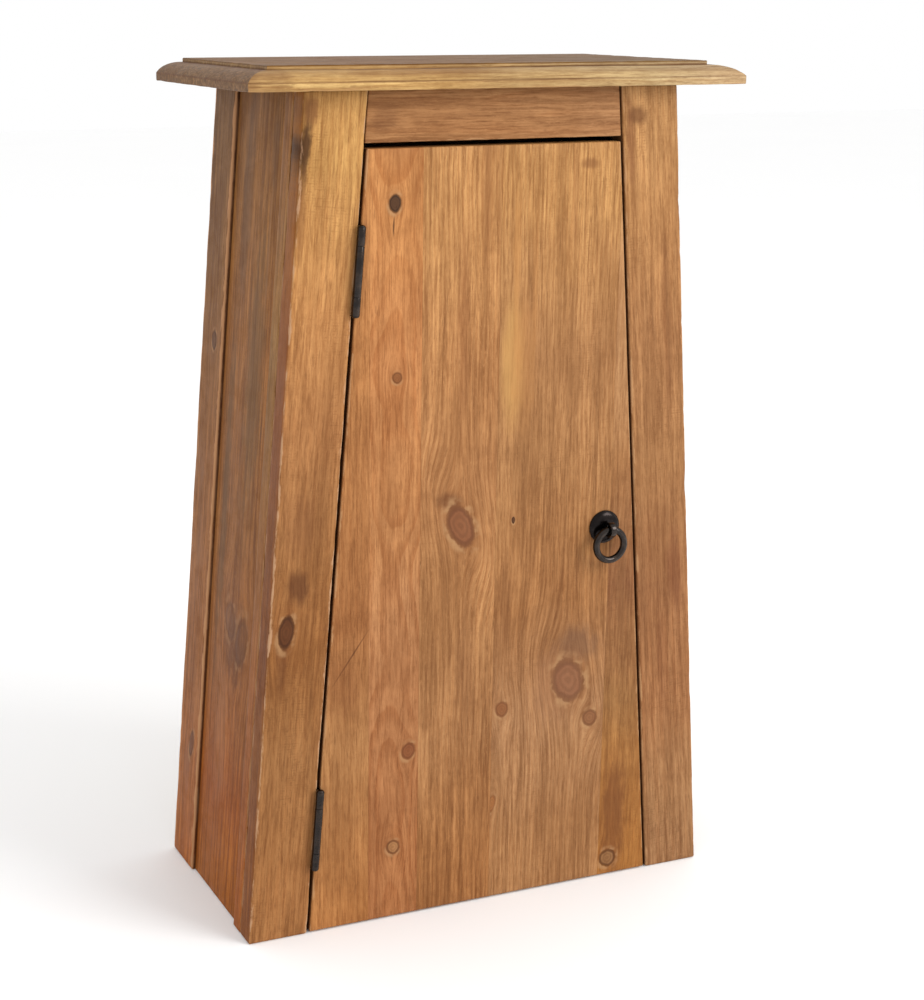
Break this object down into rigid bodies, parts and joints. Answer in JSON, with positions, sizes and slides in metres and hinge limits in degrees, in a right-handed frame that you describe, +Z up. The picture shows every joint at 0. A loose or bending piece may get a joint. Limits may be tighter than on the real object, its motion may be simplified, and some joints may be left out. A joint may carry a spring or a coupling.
{
  "type": "wall cabinet",
  "caption": "Tapered pine wall cabinet with a moulded overhanging top, an inset door on leaning butt hinges, a ring pull and shelves inside.",
  "frame": {"origin": "on the wall plane, at the middle of the hanging rail's rear face", "axes": "+Z up, +X to the right seen from the front, +Y into the wall; the door faces -Y"},
  "size_m": [0.402, 0.21, 0.66],
  "materials": {
    "golden_pine": "waxed golden pine with dark grain lines and brown end grain",
    "honey_pine": "waxed honey-coloured reclaimed pine with knots and saw marks",
    "door_pine": "waxed reclaimed pine boards, orange to brown, with knots and long grain",
    "brown_pine": "darker grey-brown waxed pine with worn pale edges",
    "raw_pine": "plain planed pine with a thin wax",
    "dark_bronze": "dark bronze, satin, worn brighter at the edges",
    "zinc_steel": "zinc-plated sheet",
    "catch_plastic": "matt black"
  },
  "bodies": {
    "carcass": {"top_board": "golden_pine", "left_front_stile": "honey_pine", "left_side_strip": "brown_pine", "left_side_panel": "brown_pine", "left_rear_post": "brown_pine", "right_front_stile": "honey_pine", "right_side_strip": "brown_pine", "right_side_panel": "brown_pine", "right_rear_post": "brown_pine", "front_top_rail": "brown_pine", "hanging_rail": "raw_pine", "lower_rear_rail": "raw_pine", "back_panel": "raw_pine", "bottom_board": "raw_pine", "lower_shelf": "raw_pine", "upper_shelf": "raw_pine", "left_lower_cleat": "raw_pine", "right_lower_cleat": "raw_pine", "left_upper_cleat": "raw_pine", "right_upper_cleat": "raw_pine", "lower_hinge_frame_leaf": "dark_bronze", "lower_hinge_frame_screw_bottom": "dark_bronze", "lower_hinge_frame_screw_top": "dark_bronze", "upper_hinge_frame_leaf": "dark_bronze", "upper_hinge_frame_screw_bottom": "dark_bronze", "upper_hinge_frame_screw_top": "dark_bronze", "lower_hinge_pin": "dark_bronze", "upper_hinge_pin": "dark_bronze", "catch_body": "catch_plastic", "left_hanger_plate": "zinc_steel", "left_hanger_screw_bottom": "zinc_steel", "left_hanger_screw_top": "zinc_steel", "right_hanger_plate": "zinc_steel", "right_hanger_screw_bottom": "zinc_steel", "right_hanger_screw_top": "zinc_steel"},
    "door": {"door_board_1": "door_pine", "door_board_2": "door_pine", "door_board_3": "door_pine", "door_board_4": "door_pine", "door_board_5": "door_pine", "lower_hinge_door_leaf": "dark_bronze", "lower_hinge_door_screw_bottom": "dark_bronze", "lower_hinge_door_screw_top": "dark_bronze", "upper_hinge_door_leaf": "dark_bronze", "upper_hinge_door_screw_bottom": "dark_bronze", "upper_hinge_door_screw_top": "dark_bronze", "pull_rose": "dark_bronze", "pull_stud": "dark_bronze", "pull_washer": "dark_bronze", "pull_nut": "dark_bronze", "catch_strike_plate": "zinc_steel", "catch_strike_screw": "zinc_steel"},
    "ring": {"pull_ring": "dark_bronze"}
  },
  "joints": [
    {"name": "door_hinge", "type": "hinge", "parent": "carcass", "child": "door", "pos_m": [-0.14495, -0.1945, -0.52575], "axis": [-0.0783, 0, -0.9969], "range_deg": [0, 170]},
    {"name": "ring_swing", "type": "hinge", "parent": "door", "child": "ring", "pos_m": [0.1006, -0.2016, -0.3105], "axis": [-1, 0, 0], "range_deg": [-17, 130]}
  ]
}
